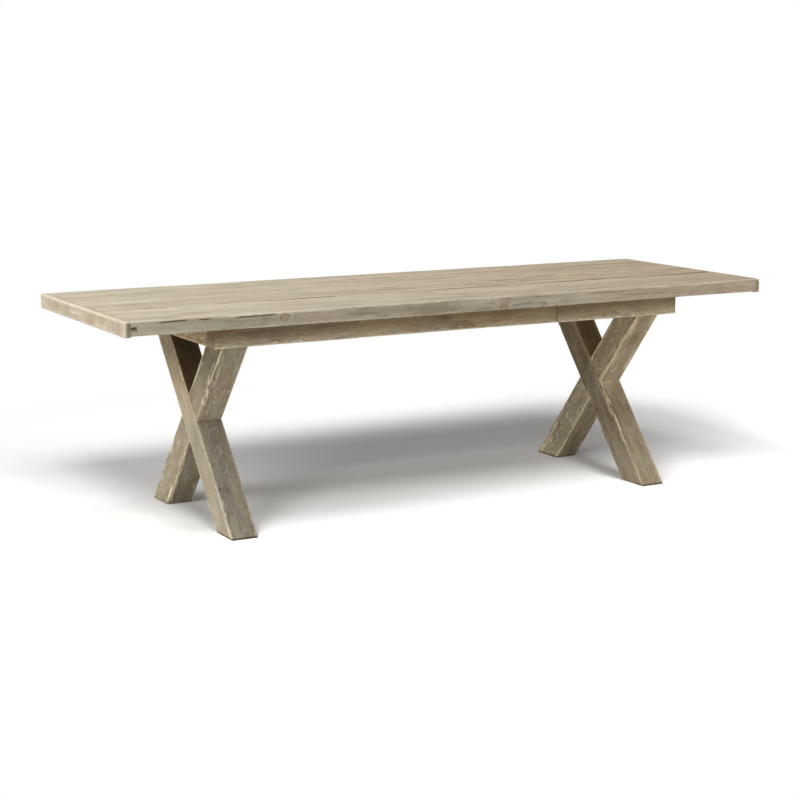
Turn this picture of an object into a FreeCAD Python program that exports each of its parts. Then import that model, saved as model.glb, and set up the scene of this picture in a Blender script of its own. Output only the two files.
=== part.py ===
import FreeCAD, Part
import math
import os

from FreeCAD import Vector

# Sawbuck table: a planked top with an end batten at each end, a boxed apron frame below it,
# and two trestles of crossed straight legs. All sizes are in millimetres.
# X runs along the table, Y across it and Z up. The origin is on the floor below the top's middle.

# Overall size
table_height = 760.0
top_length = 2510.0
top_width = 850.0

# Worn arrises on the pieces that are seen
worn_edge = 2.0

# Planks of the top, and the dowels in the seams between them
plank_count = 6
plank_thickness = 47.0
plank_dowel_diameter = 10.0
plank_dowel_length = 40.0
plank_dowels_per_seam = 8

# End battens, each with a tongue in the grooved plank ends, pegged from below
end_batten_width = 20.0
end_batten_drop = 4.0
tongue_thickness = 10.0
tongue_length = 20.0
tongue_slack = 2.0
tongue_setback = 2.0
right_groove_stop = 30.0
batten_peg_diameter = 8.0
batten_peg_above_tongue = 4.0

# Apron frame: four bearers at the trestles, centre rails between them, end rails across
end_overhang = 332.0
side_overhang = 79.0
frame_height = 72.0
bearer_length = 522.0
bearer_thickness = 64.0
end_rail_thickness = 45.0
end_rail_dowel_diameter = 12.0
end_rail_dowel_length = 40.0
end_rail_dowel_pitch = 36.0
centre_rail_thickness = 32.0
centre_rail_setback = 6.5
tenon_length = 30.0
tenon_thickness = 12.0
tenon_shoulder = 11.0
rail_peg_diameter = 10.0
rail_peg_past_tenon = 4.0

# Cross battens between the centre rails, screwed up into the planks
cross_batten_count = 3
cross_batten_width = 60.0
cross_batten_height = 45.0
cross_dowel_diameter = 10.0
cross_dowel_in_rail = 16.0
cross_dowel_in_batten = 24.0
cross_dowel_pitch = 32.0
batten_screw_diameter = 5.0
batten_screw_head_diameter = 10.0
batten_screw_head_height = 4.0
batten_screw_recess = 8.0
batten_screw_in_plank = 28.0
batten_screw_end_margin = 25.0

# Crossed legs, half lapped where they meet and notched under the bearers
leg_thickness = 93.0
leg_width = 102.0
foot_spread = 586.0
leg_top_bearing = 49.0
lap_dowel_diameter = 12.0
lap_dowel_length = 50.0
lap_dowel_pitch = 50.0

# Coach screws through the leg tops into the end rails
coach_screw_diameter = 10.0
coach_screw_in_rail = 32.0
coach_screw_edge = 20.0
coach_head_across_flats = 17.0
coach_head_height = 7.0
washer_diameter = 24.0
washer_thickness = 2.0

# Steel angle brackets that hold the top down to the bearers
brackets_per_bearer = 2
bracket_leaf = 40.0
bracket_width = 30.0
bracket_thickness = 3.0
bracket_screw_from_corner = 25.0
bracket_screw_diameter = 4.5
bracket_screw_head_diameter = 9.0
bracket_screw_head_height = 3.0
bracket_screw_length = 20.0

# Clearances
dowel_clearance = 0.2
dowel_end_gap = 0.5
joint_clearance = 0.3

# Heights and places that follow from the sizes above
frame_top = table_height - plank_thickness
frame_bottom = frame_top - frame_height
frame_middle = (frame_top + frame_bottom) / 2
plank_middle = table_height - plank_thickness / 2
plank_half_length = top_length / 2 - end_batten_width
plank_width = top_width / plank_count
bearer_outer = top_width / 2 - side_overhang
bearer_inner = bearer_outer - bearer_thickness
bearer_end = top_length / 2 - end_overhang
bearer_start = bearer_end - bearer_length
rail_outer = bearer_outer - centre_rail_setback
rail_inner = rail_outer - centre_rail_thickness
rail_middle = (rail_outer + rail_inner) / 2
leg_outer_face = bearer_end - end_rail_thickness
leg_inner_face = leg_outer_face - leg_thickness
trestle_x = (leg_outer_face + leg_inner_face) / 2
end_rail_x = (bearer_end + leg_outer_face) / 2
tongue_low = plank_middle - (tongue_thickness + tongue_slack) / 2

# The lean of a leg puts its foot at the foot spread and leaves the top bearing inside the bearer
leg_top_inner = bearer_inner - leg_top_bearing
lean_run = leg_top_inner + foot_spread / 2
lean = math.atan2(lean_run, frame_top) + math.asin(leg_width / 2 / math.hypot(lean_run, frame_top))
half_slice = leg_width / 2 / math.cos(lean)
cross_height = foot_spread / 2 / math.tan(lean)

ends = {"left": -1, "right": 1}
sides = {"front": -1, "back": 1}


def span(first, second):
    """Two limits in rising order."""
    return (min(first, second), max(first, second))


def box(x_span, y_span, z_span):
    """Plain block between the limits on each axis."""
    size = [high - low for low, high in (x_span, y_span, z_span)]
    return Part.makeBox(size[0], size[1], size[2], Vector(x_span[0], y_span[0], z_span[0]))


def prism(points, length_vector):
    """Straight solid drawn out from a closed outline of points."""
    return Part.Face(Part.makePolygon(points + points[:1])).extrude(length_vector)


def eased_outline(across_span, height_span, eased):
    """Rectangle as (across, height) points, with the worn edge cut off the named corners."""
    order = ((0, 0), (1, 0), (1, 1), (0, 1))
    outline = []
    for index, corner in enumerate(order):
        across = across_span[corner[0]]
        height = height_span[corner[1]]
        if corner not in eased:
            outline.append((across, height))
            continue
        for neighbour in (order[index - 1], order[(index + 1) % 4]):
            step_across = worn_edge * (neighbour[0] - corner[0])
            step_height = worn_edge * (neighbour[1] - corner[1])
            outline.append((across + step_across, height + step_height))
    return outline


def bar_along_x(x_span, y_span, z_span, eased=()):
    """Straight bar along the table with worn edges at the named (y, z) corners."""
    points = [Vector(x_span[0], y, z) for y, z in eased_outline(y_span, z_span, eased)]
    return prism(points, Vector(x_span[1] - x_span[0], 0, 0))


def bar_along_y(x_span, y_span, z_span, eased=()):
    """Straight bar across the table with worn edges at the named (x, z) corners."""
    points = [Vector(x, y_span[0], z) for x, z in eased_outline(x_span, z_span, eased)]
    return prism(points, Vector(0, y_span[1] - y_span[0], 0))


def rod(start, direction, length, diameter):
    """Round rod from a start point along a direction."""
    return Part.makeCylinder(diameter / 2, length, start, direction)


def dowel(start, direction, length, diameter):
    """Dowel and the hole that takes it, a little wider and a little longer at both ends."""
    peg = rod(start, direction, length, diameter)
    hole_start = start - direction * dowel_end_gap
    hole = rod(hole_start, direction, length + 2 * dowel_end_gap, diameter + 2 * dowel_clearance)
    return peg, hole


def screw(seat, direction, length, diameter, head):
    """Pointed screw whose shank starts at its seat; returns it with the hole for the shank."""
    point_length = diameter
    shank = rod(seat, direction, length - point_length, diameter)
    tip_start = seat + direction * (length - point_length)
    tip = Part.makeCone(diameter / 2, 0, point_length, tip_start, direction)
    hole = rod(seat, direction, length + dowel_end_gap, diameter + 2 * dowel_clearance)
    return head.fuse([shank, tip]).removeSplitter(), hole


def round_head(seat, direction, diameter, height):
    """Cheese head that stands on the seat, against the screw's direction."""
    return rod(seat - direction * height, direction, height, diameter)


def hex_head(seat, direction, across_flats, height):
    """Hexagonal head that stands on the seat, for a screw along X."""
    radius = across_flats / 2 / math.cos(math.pi / 6)
    points = []
    for corner in range(6):
        turn = corner * math.pi / 3
        points.append(seat + Vector(0, radius * math.cos(turn), radius * math.sin(turn)))
    return prism(points, direction * -height)


def cut(solid, tools):
    """Solid with every tool that reaches it cut away."""
    near = [tool for tool in tools if tool.BoundBox.intersect(solid.BoundBox)]
    return solid.cut(near) if near else solid


def even_places(low, high, count):
    """Places that divide a stretch evenly, with a half step at each end."""
    step = (high - low) / count
    return [low + step * (index + 0.5) for index in range(count)]


# Dowels along the seams of the top
plank_dowels = []
plank_dowel_holes = []
for seam in range(1, plank_count):
    seam_y = -top_width / 2 + seam * plank_width
    for x in even_places(-plank_half_length, plank_half_length, plank_dowels_per_seam):
        start = Vector(x, seam_y - plank_dowel_length / 2, plank_middle)
        peg, hole = dowel(start, Vector(0, 1, 0), plank_dowel_length, plank_dowel_diameter)
        plank_dowels.append(peg)
        plank_dowel_holes.append(hole)

# End battens, the grooves for their tongues and the pegs through the tongues.
# The left groove is open at the front edge, the right one stops short of it.
end_battens = {}
tongue_grooves = []
batten_pegs = []
batten_peg_holes = []
groove_starts = {"left": -top_width / 2, "right": -top_width / 2 + right_groove_stop}
for end, side in ends.items():
    inner_x = side * plank_half_length
    outer_x = side * top_length / 2
    tongue_x = inner_x - side * tongue_length
    groove_x = tongue_x - side * joint_clearance
    outer_corner = 0 if side < 0 else 1
    batten_z = (frame_top - end_batten_drop, table_height)
    batten_eased = ((outer_corner, 0), (outer_corner, 1))
    full_width = (-top_width / 2, top_width / 2)
    groove_y = (groove_starts[end], top_width / 2)
    tongue_y = (groove_y[0] + tongue_setback, groove_y[1] - tongue_setback)
    batten = bar_along_y(span(inner_x, outer_x), full_width, batten_z, batten_eased)
    tongue = box(span(tongue_x, inner_x), tongue_y, (tongue_low, tongue_low + tongue_thickness))
    groove_z = (tongue_low, tongue_low + tongue_thickness + tongue_slack)
    tongue_grooves.append(box(span(groove_x, inner_x), groove_y, groove_z))
    peg_length = tongue_low + tongue_thickness + tongue_slack + batten_peg_above_tongue - frame_top
    holes = []
    for y in even_places(-top_width / 2, top_width / 2, plank_count):
        start = Vector((tongue_x + inner_x) / 2, y, frame_top)
        peg, hole = dowel(start, Vector(0, 0, 1), peg_length, batten_peg_diameter)
        batten_pegs.append(peg)
        holes.append(hole)
    batten_peg_holes += holes
    end_battens[end] = cut(batten.fuse(tongue).removeSplitter(), holes)

# Cross battens with their dowels and screws
cross_battens = []
cross_dowels = []
cross_dowel_holes = []
batten_screws = []
batten_screw_holes = []
batten_recesses = []
cross_z = (frame_top - cross_batten_height, frame_top)
plank_centres = even_places(-top_width / 2, top_width / 2, plank_count)
for x in even_places(-bearer_start, bearer_start, cross_batten_count):
    half_width = cross_batten_width / 2
    blank = box((x - half_width, x + half_width), (-rail_inner, rail_inner), cross_z)
    for side in sides.values():
        for shift in (-cross_dowel_pitch / 2, cross_dowel_pitch / 2):
            far_y = rail_inner + cross_dowel_in_rail
            start = Vector(x + shift, side * far_y, frame_top - cross_batten_height / 2)
            length = cross_dowel_in_rail + cross_dowel_in_batten
            peg, hole = dowel(start, Vector(0, -side, 0), length, cross_dowel_diameter)
            cross_dowels.append(peg)
            cross_dowel_holes.append(hole)
    for y in plank_centres:
        if abs(y) > rail_inner - batten_screw_end_margin:
            continue
        seat = Vector(x, y, cross_z[0] + batten_screw_recess)
        up = Vector(0, 0, 1)
        head = round_head(seat, up, batten_screw_head_diameter, batten_screw_head_height)
        length = cross_batten_height - batten_screw_recess + batten_screw_in_plank
        piece, hole = screw(seat, up, length, batten_screw_diameter, head)
        batten_screws.append(piece)
        batten_screw_holes.append(hole)
        recess_diameter = batten_screw_head_diameter + 2 * joint_clearance
        batten_recesses.append(rod(Vector(x, y, cross_z[0]), up, batten_screw_recess, recess_diameter))
    cross_battens.append(cut(blank, cross_dowel_holes + batten_screw_holes + batten_recesses))

# Angle brackets between the bearers and the top, evenly spaced from the bearer's end to the leg
brackets = []
bracket_screws = []
bracket_screw_holes = []
for end_side in ends.values():
    for x in even_places(bearer_start, leg_inner_face, brackets_per_bearer):
        for side in sides.values():
            face_y = side * bearer_inner
            reach_y = face_y - side * bracket_leaf
            x_span = (end_side * x - bracket_width / 2, end_side * x + bracket_width / 2)
            low_z = frame_top - bracket_leaf
            upright = box(x_span, span(face_y, face_y - side * bracket_thickness), (low_z, frame_top))
            shelf = box(x_span, span(face_y, reach_y), (frame_top - bracket_thickness, frame_top))
            screw_z = frame_top - bracket_screw_from_corner
            screw_y = face_y - side * bracket_screw_from_corner
            seats = (
                (Vector(end_side * x, face_y - side * bracket_thickness, screw_z), Vector(0, side, 0)),
                (Vector(end_side * x, screw_y, frame_top - bracket_thickness), Vector(0, 0, 1)),
            )
            holes = []
            for seat, way in seats:
                head = round_head(seat, way, bracket_screw_head_diameter, bracket_screw_head_height)
                piece, hole = screw(seat, way, bracket_screw_length, bracket_screw_diameter, head)
                bracket_screws.append(piece)
                holes.append(hole)
            bracket_screw_holes += holes
            brackets.append(cut(upright.fuse(shelf).removeSplitter(), holes))

# Planks: the two outer ones have worn edges along the table's sides
planks = []
plank_tools = plank_dowel_holes + tongue_grooves + batten_peg_holes
plank_tools += batten_screw_holes + bracket_screw_holes
for index in range(plank_count):
    low_y = -top_width / 2 + index * plank_width
    eased = []
    if index == 0:
        eased += [(0, 0), (0, 1)]
    if index == plank_count - 1:
        eased += [(1, 0), (1, 1)]
    plank_x = (-plank_half_length, plank_half_length)
    blank = bar_along_x(plank_x, (low_y, low_y + plank_width), (frame_top, table_height), eased)
    planks.append(cut(blank, plank_tools))

# Centre rails with a tenon at each end, and the mortises and pegs for them
centre_rails = {}
mortises = []
rail_pegs = []
rail_peg_holes = []
for name, side in sides.items():
    y_span = span(side * rail_inner, side * rail_outer)
    outer_corner = 0 if side < 0 else 1
    rail = bar_along_x((-bearer_start, bearer_start), y_span, (frame_bottom, frame_top), ((outer_corner, 0),))
    tenon_y = span(side * rail_middle - tenon_thickness / 2, side * rail_middle + tenon_thickness / 2)
    tenon_z = (frame_bottom + tenon_shoulder, frame_top - tenon_shoulder)
    mortise_y = (tenon_y[0] - joint_clearance, tenon_y[1] + joint_clearance)
    mortise_z = (tenon_z[0] - joint_clearance, tenon_z[1] + joint_clearance)
    tenons = []
    holes = []
    for end_side in ends.values():
        shoulder_x = end_side * bearer_start
        tip_x = shoulder_x + end_side * tenon_length
        tenons.append(box(span(shoulder_x, tip_x), tenon_y, tenon_z))
        mortise_end = tip_x + end_side * joint_clearance
        mortises.append(box(span(shoulder_x, mortise_end), mortise_y, mortise_z))
        start = Vector((shoulder_x + tip_x) / 2, side * bearer_inner, frame_middle)
        length = rail_middle + tenon_thickness / 2 + rail_peg_past_tenon - bearer_inner
        peg, hole = dowel(start, Vector(0, side, 0), length, rail_peg_diameter)
        rail_pegs.append(peg)
        holes.append(hole)
    rail_peg_holes += holes
    centre_rails[name] = cut(rail.fuse(tenons).removeSplitter(), holes + cross_dowel_holes)

# Coach screws and washers in the leg tops, centred between the leg's inner side and the bearer
coach_screws = []
washers = []
coach_holes = []
for end_side in ends.values():
    way = Vector(end_side, 0, 0)
    for side in sides.values():
        for z in (frame_bottom + coach_screw_edge, frame_top - coach_screw_edge):
            leg_side = (z - cross_height) * math.tan(lean) - half_slice
            seat = Vector(end_side * leg_inner_face, side * (leg_side + bearer_inner) / 2, z)
            head_seat = seat - way * washer_thickness
            head = hex_head(head_seat, way, coach_head_across_flats, coach_head_height)
            length = washer_thickness + leg_thickness + coach_screw_in_rail
            piece, hole = screw(head_seat, way, length, coach_screw_diameter, head)
            coach_screws.append(piece)
            coach_holes.append(hole)
            washers.append(rod(head_seat, way, washer_thickness, washer_diameter).cut(hole))

# End rails between the bearers, dowelled to them
end_rails = {}
end_rail_dowels = []
end_rail_holes = []
for name, end_side in ends.items():
    for side in sides.values():
        for shift in (-end_rail_dowel_pitch / 2, end_rail_dowel_pitch / 2):
            far_y = bearer_inner + end_rail_dowel_length / 2
            start = Vector(end_side * end_rail_x, side * far_y, frame_middle + shift)
            peg, hole = dowel(start, Vector(0, -side, 0), end_rail_dowel_length, end_rail_dowel_diameter)
            end_rail_dowels.append(peg)
            end_rail_holes.append(hole)
    x_span = span(end_side * leg_outer_face, end_side * bearer_end)
    outer_corner = 0 if end_side < 0 else 1
    rail = bar_along_y(x_span, (-bearer_inner, bearer_inner), (frame_bottom, frame_top), ((outer_corner, 0),))
    end_rails[name] = cut(rail, end_rail_holes + coach_holes)

# Bearers over the leg shoulders
bearers = {}
bearer_tools = mortises + rail_peg_holes + end_rail_holes + bracket_screw_holes
for side_name, side in sides.items():
    y_span = span(side * bearer_inner, side * bearer_outer)
    outer_corner = 0 if side < 0 else 1
    for end_name, end_side in ends.items():
        x_span = span(end_side * bearer_start, end_side * bearer_end)
        blank = bar_along_x(x_span, y_span, (frame_bottom, frame_top), ((outer_corner, 0),))
        bearers[side_name + "_" + end_name] = cut(blank, bearer_tools)


def leg_bar(x_span, way, eased):
    """Endless straight leg through the crossing; way is +1 where its top leans to the back."""
    reach = table_height + top_width
    along = Vector(0, way * math.sin(lean), math.cos(lean))
    across = Vector(0, math.cos(lean), -way * math.sin(lean))
    start = Vector(0, 0, cross_height) - along * reach
    outline = eased_outline(x_span, (-leg_width / 2, leg_width / 2), eased)
    points = [start + Vector(x, 0, 0) + across * shift for x, shift in outline]
    return prism(points, along * (2 * reach))


def trestle(center_x):
    """The two crossed legs of one trestle, with the lap dowels between them."""
    low_x = center_x - leg_thickness / 2
    high_x = center_x + leg_thickness / 2
    every_corner = ((0, 0), (1, 0), (1, 1), (0, 1))
    standing = box((low_x, high_x), (-top_width, top_width), (0, frame_top))
    notches = []
    for side in sides.values():
        notch_y = span(side * bearer_inner, side * top_width)
        notches.append(box((low_x, high_x), notch_y, (frame_bottom, frame_top)))
    lap_dowels = []
    lap_holes = []
    for shift in (-lap_dowel_pitch / 2, lap_dowel_pitch / 2):
        start = Vector(center_x - lap_dowel_length / 2, 0, cross_height + shift)
        peg, hole = dowel(start, Vector(1, 0, 0), lap_dowel_length, lap_dowel_diameter)
        lap_dowels.append(peg)
        lap_holes.append(hole)
    legs = {}
    for name, way, pocket_span in (("front", 1, (center_x, high_x)), ("back", -1, (low_x, center_x))):
        pocket = leg_bar(pocket_span, -way, ())
        whole = leg_bar((low_x, high_x), way, every_corner).common(standing)
        legs[name] = cut(whole, [pocket] + notches + lap_holes + coach_holes)
    return legs, lap_dowels


nodes = {}
for index, plank in enumerate(planks, start=1):
    nodes["top_plank_%d" % index] = [plank]
for index, batten in enumerate(cross_battens, start=1):
    nodes["cross_batten_%d" % index] = [batten]
for name, batten in end_battens.items():
    nodes["end_batten_" + name] = [batten]
for name, bearer in bearers.items():
    nodes["bearer_" + name] = [bearer]
for name, rail in centre_rails.items():
    nodes["centre_rail_" + name] = [rail]
for name, rail in end_rails.items():
    nodes["end_rail_" + name] = [rail]
all_lap_dowels = []
for end_name, end_side in ends.items():
    legs, lap_dowels = trestle(end_side * trestle_x)
    all_lap_dowels += lap_dowels
    for foot, leg in legs.items():
        nodes["leg_%s_%s_foot" % (end_name, foot)] = [leg]
nodes["plank_dowels"] = plank_dowels
nodes["end_batten_pegs"] = batten_pegs
nodes["centre_rail_pegs"] = rail_pegs
nodes["end_rail_dowels"] = end_rail_dowels
nodes["cross_batten_dowels"] = cross_dowels
nodes["lap_dowels"] = all_lap_dowels
nodes["cross_batten_screws"] = batten_screws
nodes["coach_screws"] = coach_screws
nodes["coach_washers"] = washers
nodes["top_brackets"] = brackets
nodes["bracket_screws"] = bracket_screws

os.makedirs("parts", exist_ok=True)
for name, solids in nodes.items():
    shape = solids[0] if len(solids) == 1 else Part.makeCompound(solids)
    shape.exportStep("parts/%s.step" % name)
    print(name, len(shape.Solids), "solids", round(shape.Volume / 1000), "cm3", shape.isValid())
print("lean", round(math.degrees(lean), 2), "crossing height", round(cross_height, 1))
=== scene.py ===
import math
from dataclasses import dataclass, field
from functools import reduce
from itertools import combinations

import bmesh
import bpy
import numpy as np
from mathutils import Color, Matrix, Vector


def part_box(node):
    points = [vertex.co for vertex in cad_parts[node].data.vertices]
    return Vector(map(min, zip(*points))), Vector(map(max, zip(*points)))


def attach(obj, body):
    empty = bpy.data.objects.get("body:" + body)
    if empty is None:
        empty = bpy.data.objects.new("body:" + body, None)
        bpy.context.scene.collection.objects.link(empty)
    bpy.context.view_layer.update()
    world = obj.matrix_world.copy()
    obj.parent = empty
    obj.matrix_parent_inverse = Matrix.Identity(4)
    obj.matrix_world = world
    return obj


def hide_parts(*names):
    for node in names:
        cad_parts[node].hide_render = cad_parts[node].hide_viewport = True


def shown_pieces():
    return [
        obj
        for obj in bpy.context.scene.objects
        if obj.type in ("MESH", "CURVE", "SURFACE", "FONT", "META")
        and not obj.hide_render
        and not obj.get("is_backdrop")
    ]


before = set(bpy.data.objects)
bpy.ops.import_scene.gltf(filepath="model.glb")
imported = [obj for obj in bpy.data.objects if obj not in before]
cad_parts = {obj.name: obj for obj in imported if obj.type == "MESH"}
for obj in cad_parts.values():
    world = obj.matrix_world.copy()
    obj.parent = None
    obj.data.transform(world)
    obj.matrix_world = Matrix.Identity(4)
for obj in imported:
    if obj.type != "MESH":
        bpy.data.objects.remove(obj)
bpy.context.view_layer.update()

# Sawbuck table in weathered, limed pine. Metres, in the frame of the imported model: X along the
# table, Y across it to the back, Z up. Worn timber pieces stand for the plain solids.

scene = bpy.context.scene

# Sizes that the boxes of the solids don't give
BATTEN_WIDTH = 0.020
GROOVE_DEPTH = 0.0205
GROOVE_LOW = 0.7305
GROOVE_HIGH = 0.7425
RIGHT_GROOVE_STOP = 0.030
TONGUE_LENGTH = 0.020
TONGUE_ROOT = 0.001
TONGUE_SETBACK = 0.0006
TONGUE_PLAY_BELOW = 0.0001
TONGUE_PLAY_ABOVE = 0.0042
LEG_WIDTH = 0.102
FOOT_SPREAD = 0.586
BEARER_INNER = 0.282
FRAME_BOTTOM = 0.641
TENON_LENGTH = 0.030

# How far cutters reach past what they cut, and how low and how far the largest ones go
CUT_MARGIN = 0.01
CUT_BOTTOM = -0.1
CUT_REACH = 0.9

# How finely the timbers are meshed
STATION_STEP = 0.008
ROW_STEP = 0.018
SUPPORT_ROW = 0.004
CORNER_STEPS = 4
END_STEPS = 4
CAP_RINGS = (0.8, 0.5, 0.2)
SMOOTH_ANGLE = math.radians(40)
SLIVER_WIDTH = 0.00001

# How the timbers wear
WEAR_LENGTH = 0.16
WEAR_LEAST = 0.4
WEAR_SPREAD = 1.2
CHIP_LENGTH = 0.022
CHIP_START = 0.62
SEAM_SHARE = 0.4
FACE_WAVE = 0.0005
FACE_WAVE_LENGTH = 0.09
FAR_AWAY = 1.0
LINE_FADE = 0.012
SPLINTER_REST = 0.15
TIGHT_ENDS = (0.0006, 0.0006, 0.0006)
# Kinds of timber: first seed, wear of the arrises, depth of their chips, and end_round
KINDS = {
    "plank": (100, 0.0048, 0.005, TIGHT_ENDS),
    "batten": (120, 0.0034, 0.004, (0.009, 0.004, 0.009)),
    "tongue": (130, 0.001, 0.0, TIGHT_ENDS),
    "bearer": (140, 0.0020, 0.005, (0.0015, 0.0015, 0.0015)),
    "centre_rail": (150, 0.0020, 0.005, TIGHT_ENDS),
    "end_rail": (160, 0.0018, 0.003, TIGHT_ENDS),
    "cross_batten": (170, 0.0018, 0.003, TIGHT_ENDS),
    "leg": (180, 0.0016, 0.006, (0.003, 0.0012, 0.003)),
}
# Places in v from a timber's middle, and how much of its painted upper shade, in light and warmth, shows
# there
UPPER_SHADE_PLACES = (-0.026, 0.002, 0.036)
UPPER_SHADE_LIGHTS = (0.0, 1.0, 0.55)
UPPER_SHADE_WARMTHS = (0.0, 1.0, 1.0)

# The axis that a timber runs along, and its six sides: two ends, then the two pairs of long faces
ALONG_X, ALONG_Y, ALONG_Z = range(3)
SIDE_NAMES = ("end+", "end-", "u+", "u-", "v+", "v-")
BOTH_ENDS = ["end+", "end-"]


def smooth_noise(places, spacing, rng):
    """Seeded noise from 0 to 1 that varies smoothly over the places."""
    first = places.min()
    count = int((places.max() - first) / spacing) + 3
    heights = rng.random(count)
    scaled = (places - first) / spacing
    left = scaled.astype(int)
    part = scaled - left
    part = part * part * (3 - 2 * part)
    return heights[left] * (1 - part) + heights[left + 1] * part


def arris_radii(places, wear, chip, rng):
    """Radius of one worn arris at each place: slow wear, and short deeper chips."""
    slow = smooth_noise(places, WEAR_LENGTH, rng)
    quick = smooth_noise(places, CHIP_LENGTH, rng)
    chips = np.clip(quick - CHIP_START, 0, 1) / (1 - CHIP_START)
    return wear * (WEAR_LEAST + WEAR_SPREAD * slow) + chip * chips * slow


def new_piece(name, points, faces):
    """Scene object with a mesh of the points and faces, which is checked for broken faces."""
    mesh = bpy.data.meshes.new(name)
    mesh.from_pydata(np.asarray(points).tolist(), [], faces)
    mesh.validate()
    mesh.update()
    piece = bpy.data.objects.new(name, mesh)
    scene.collection.objects.link(piece)
    return piece


class Timber:
    """One straight piece of wood: its box, the axis it runs along, its kind and what covers it.

    u and v are the two cross axes that follow the long axis in the order X, Y, Z. A leg leans
    in v, so its sections are level and their middle moves along v with height. end_round is how
    far the rounding of an end reaches along the timber, and how deep it cuts in u and in v.
    slant is how far the pith of the tree moves in v per metre of length.
    """

    def __init__(self, name, low, high, axis, kind, number, hidden=(), lean=None, slant=0.0):
        self.name = name
        self.axes = [axis, (axis + 1) % 3, (axis + 2) % 3]
        self.low = np.array(low, float)[self.axes]
        self.high = np.array(high, float)[self.axes]
        first_seed, self.wear, self.chip, self.end_round = KINDS[kind]
        self.seed = first_seed + number
        self.hidden = set(hidden)
        self.lean = lean
        self.slant = slant

    def shift(self, places):
        """How far the middle of each section moves along v."""
        if self.lean is None:
            return np.zeros_like(places)
        way, tangent, crossing = self.lean
        return way * tangent * (places - crossing)

    def stations(self):
        """Places along the axis from end to end, and the share of the end rounding at each."""
        first, last = self.low[0], self.high[0]
        radius = self.end_round[0]
        angles = np.linspace(0, math.pi / 2, END_STEPS + 1)
        count = max(2, int(round((last - first - 2 * radius) / STATION_STEP)))
        middle = np.linspace(first + radius, last - radius, count + 1)[1:-1]
        reach = radius * np.sin(angles)
        share = 1 - np.cos(angles)
        places = np.concatenate([first + radius - reach[::-1], middle, last - radius + reach])
        shares = np.concatenate([share[::-1], np.zeros(len(middle)), share])
        return places, shares

    def limits(self, shares):
        """Lower and upper limit of each section in u and v. A covered side isn't rounded at the ends."""
        bounds = {}
        for axis, name in ((1, "u"), (2, "v")):
            cut_in = shares * self.end_round[axis]
            bounds[name + "-"] = self.low[axis] + cut_in * (name + "-" not in self.hidden)
            bounds[name + "+"] = self.high[axis] - cut_in * (name + "+" not in self.hidden)
        return bounds

    def sections(self):
        """The stations, and the points (station, point, u and v) of the rounded sections there."""
        rng = np.random.default_rng(self.seed)
        places, shares = self.stations()
        bounds = self.limits(shares)
        sides = ("u+", "v+", "u-", "v-")
        outward = ((1, 0), (0, 1), (-1, 0), (0, -1))
        corners = []
        for turn, (u_way, v_way) in enumerate(((1, 1), (-1, 1), (-1, -1), (1, -1))):
            radii = arris_radii(places, self.wear, self.chip, rng)
            if sides[turn] in self.hidden or sides[(turn + 1) % 4] in self.hidden:
                radii = radii * SEAM_SHARE
            u_middle = bounds["u+" if u_way > 0 else "u-"] - u_way * radii
            v_middle = bounds["v+" if v_way > 0 else "v-"] - v_way * radii
            arc = []
            for angle in np.linspace(turn, turn + 1, CORNER_STEPS + 1) * math.pi / 2:
                u_place = u_middle + radii * math.cos(angle)
                v_place = v_middle + radii * math.sin(angle)
                arc.append(np.stack([u_place, v_place], axis=1))
            corners.append(arc)
        ring = []
        for turn in range(4):
            face = (turn + 1) % 4
            ring += corners[turn]
            start, end = corners[turn][-1], corners[face][0]
            length = float(np.linalg.norm(end[0] - start[0]))
            wave = 0.0 if sides[face] in self.hidden else FACE_WAVE
            steps = max(2, int(round((length - 2 * SUPPORT_ROW) / ROW_STEP)))
            for row in np.linspace(SUPPORT_ROW / length, 1 - SUPPORT_ROW / length, steps + 1):
                depth = wave * smooth_noise(places, FACE_WAVE_LENGTH, rng)
                ring.append(start + (end - start) * row - depth[:, None] * np.array(outward[face], float))
        ring = np.stack(ring, axis=1)
        ring[:, :, 1] += self.shift(places)[:, None]
        return places, ring

    def piece(self):
        """The worn timber as a closed piece, capped by shrinking rings."""
        places, ring = self.sections()
        first_caps, last_caps = [], []
        for share in CAP_RINGS:
            for caps, index in ((first_caps, 0), (last_caps, -1)):
                centre = ring[index].mean(axis=0)
                caps.append(centre + (ring[index] - centre) * share)
        rings = first_caps[::-1] + list(ring) + last_caps
        heights = [places[0]] * len(CAP_RINGS) + list(places) + [places[-1]] * len(CAP_RINGS)
        count = ring.shape[1]
        local = np.zeros((len(rings) * count, 3))
        local[:, 0] = np.repeat(heights, count)
        local[:, 1:] = np.concatenate(rings)
        points = np.zeros_like(local)
        points[:, self.axes] = local
        around = np.arange(count)
        following = (around + 1) % count
        faces = []
        for level in range(len(rings) - 1):
            low, high = level * count, (level + 1) * count
            quads = np.stack([around + low, following + low, following + high, around + high], axis=1)
            faces += quads.tolist()
        faces.append(around[::-1].tolist())
        faces.append((around + (len(rings) - 1) * count).tolist())
        return new_piece(self.name, points, faces)

    def local(self, points):
        """Points as (along, u, v) from the middle of the timber, or from the crossing of a leg."""
        turned = points[:, self.axes] - (self.low + self.high) / 2
        if self.lean is not None:
            way, tangent, crossing = self.lean
            cosine = 1 / math.hypot(1, tangent)
            height = points[:, self.axes[0]] - crossing
            turned[:, 2] = (turned[:, 2] - way * tangent * height) * cosine
            turned[:, 0] = height / cosine + way * turned[:, 2] * tangent
        return turned

    def trunk_shift(self, place):
        """What the slant of the pith adds to places in the tree."""
        shift = np.zeros_like(place)
        shift[:, 2] = -self.slant * place[:, 0]
        return shift

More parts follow.
